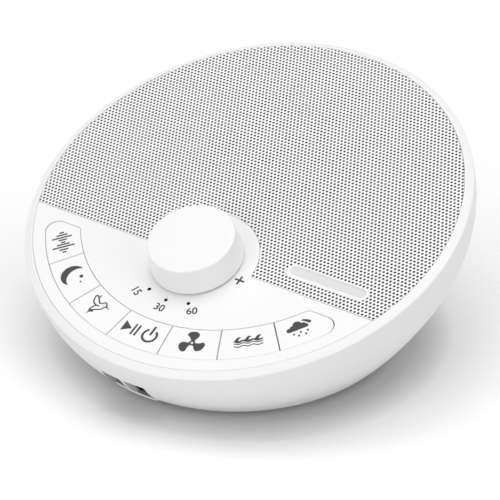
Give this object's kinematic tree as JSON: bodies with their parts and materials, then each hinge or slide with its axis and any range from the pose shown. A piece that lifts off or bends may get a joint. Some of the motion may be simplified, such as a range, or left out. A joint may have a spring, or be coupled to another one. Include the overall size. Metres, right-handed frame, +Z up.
{
  "type": "white noise sound machine",
  "caption": "Round bedside sound machine with a slanted perforated speaker top, a curved row of push keys, a volume knob and socket windows at the front.",
  "frame": {"origin": "on the table, midway between the left and right sides and between front and back", "axes": "+Z up, -Y towards the user and the low front edge, +X to the user's right"},
  "size_m": [0.1392, 0.1328, 0.0708],
  "materials": {
    "white_shell": "fine moulded white plastic, satin",
    "white_cover": "moulded white plastic with a fine texture",
    "white_panel": "smooth white plastic, satin",
    "white_key": "smooth white plastic with dark printed symbols",
    "white_knob": "smooth white plastic, satin",
    "white_mesh": "perforated steel sheet, white powder coat",
    "badge": "pressed aluminium plate, white, bare",
    "print": "dark grey printed symbols and numbers",
    "black_plastic": "black moulded plastic",
    "rubber": "matt black rubber",
    "steel": "zinc-plated screws and shaft",
    "zinc": "zinc-plated pressed steel",
    "brass": "nickel brass nut",
    "painted_steel": "black painted pressed steel",
    "ferrite": "sintered ferrite",
    "copper": "enamelled copper winding",
    "paper_cone": "black pressed paper",
    "spider_cloth": "resin-stiffened cloth",
    "foam": "closed-cell foam",
    "lens": "dark tinted light guide",
    "led": "surface-mount light",
    "board_green": "green circuit board",
    "switch_black": "black switch body",
    "port_black": "black socket insulator",
    "usb_steel": "plated socket shell",
    "chip_black": "black chip package",
    "can_sleeve": "sleeved electrolytic can",
    "nylon": "natural nylon header",
    "wire_sleeve": "red and black insulated wire",
    "ribbon": "grey flat cable"
  },
  "bodies": {
    "housing": {"body_shell": "white_shell", "base_cover": "white_cover", "foot_pads": "rubber", "base_screws": "steel", "control_panel": "white_panel", "speaker_grille": "white_mesh", "badge": "badge", "top_chassis": "black_plastic", "chassis_screws": "steel", "panel_screws": "steel", "tact_switches": "switch_black", "key_board": "board_green", "key_board_screws": "steel", "timer_lenses": "lens", "timer_leds": "led", "volume_pot_body": "zinc", "pot_washer": "steel", "pot_nut": "brass", "speaker_gasket": "foam", "speaker_basket": "painted_steel", "speaker_screws": "steel", "speaker_top_plate": "zinc", "speaker_magnet": "ferrite", "speaker_yoke": "zinc", "speaker_surround": "rubber", "speaker_spider": "spider_cloth", "speaker_terminals": "board_green", "headphone_jack": "port_black", "usb_socket": "usb_steel", "usb_tongue": "port_black", "main_board": "board_green", "main_board_screws": "steel", "amplifier_chip": "chip_black", "sound_chip": "chip_black", "capacitors": "can_sleeve", "wire_connectors": "nylon", "speaker_leads": "wire_sleeve", "board_ribbon": "ribbon"},
    "knob": {"volume_knob": "white_knob", "volume_pot_shaft": "steel"},
    "key_wave_cap": {"key_wave": "white_key", "switch_plunger_wave": "switch_black"},
    "key_moon_cap": {"key_moon": "white_key", "switch_plunger_moon": "switch_black"},
    "key_bird_cap": {"key_bird": "white_key", "switch_plunger_bird": "switch_black"},
    "key_power_cap": {"key_power": "white_key", "switch_plunger_power": "switch_black"},
    "key_fan_cap": {"key_fan": "white_key", "switch_plunger_fan": "switch_black"},
    "key_ocean_cap": {"key_ocean": "white_key", "switch_plunger_ocean": "switch_black"},
    "key_rain_cap": {"key_rain": "white_key", "switch_plunger_rain": "switch_black"},
    "cone": {"speaker_cone": "paper_cone", "speaker_dust_cap": "paper_cone", "speaker_voice_coil": "copper"}
  },
  "joints": [
    {"name": "knob_turn", "type": "hinge", "parent": "housing", "child": "knob", "pos_m": [0, -0.02655, 0.03724], "axis": [0, -0.3584, 0.9336], "range_deg": [-150, 150]},
    {"name": "key_wave_press", "type": "slide", "parent": "housing", "child": "key_wave_cap", "axis": [0, 0.3584, -0.9336], "range_m": [0, 0.0005], "stiffness_N_per_m": 1600, "springref_m": -0.0004},
    {"name": "key_moon_press", "type": "slide", "parent": "housing", "child": "key_moon_cap", "axis": [0, 0.3584, -0.9336], "range_m": [0, 0.0005], "stiffness_N_per_m": 1600, "springref_m": -0.0004},
    {"name": "key_bird_press", "type": "slide", "parent": "housing", "child": "key_bird_cap", "axis": [0, 0.3584, -0.9336], "range_m": [0, 0.0005], "stiffness_N_per_m": 1600, "springref_m": -0.0004},
    {"name": "key_power_press", "type": "slide", "parent": "housing", "child": "key_power_cap", "axis": [0, 0.3584, -0.9336], "range_m": [0, 0.0005], "stiffness_N_per_m": 1600, "springref_m": -0.0004},
    {"name": "key_fan_press", "type": "slide", "parent": "housing", "child": "key_fan_cap", "axis": [0, 0.3584, -0.9336], "range_m": [0, 0.0005], "stiffness_N_per_m": 1600, "springref_m": -0.0004},
    {"name": "key_ocean_press", "type": "slide", "parent": "housing", "child": "key_ocean_cap", "axis": [0, 0.3584, -0.9336], "range_m": [0, 0.0005], "stiffness_N_per_m": 1600, "springref_m": -0.0004},
    {"name": "key_rain_press", "type": "slide", "parent": "housing", "child": "key_rain_cap", "axis": [0, 0.3584, -0.9336], "range_m": [0, 0.0005], "stiffness_N_per_m": 1600, "springref_m": -0.0004},
    {"name": "cone_travel", "type": "slide", "parent": "housing", "child": "cone", "axis": [0, -0.3584, 0.9336], "range_m": [-0.001, 0.001], "stiffness_N_per_m": 900}
  ]
}
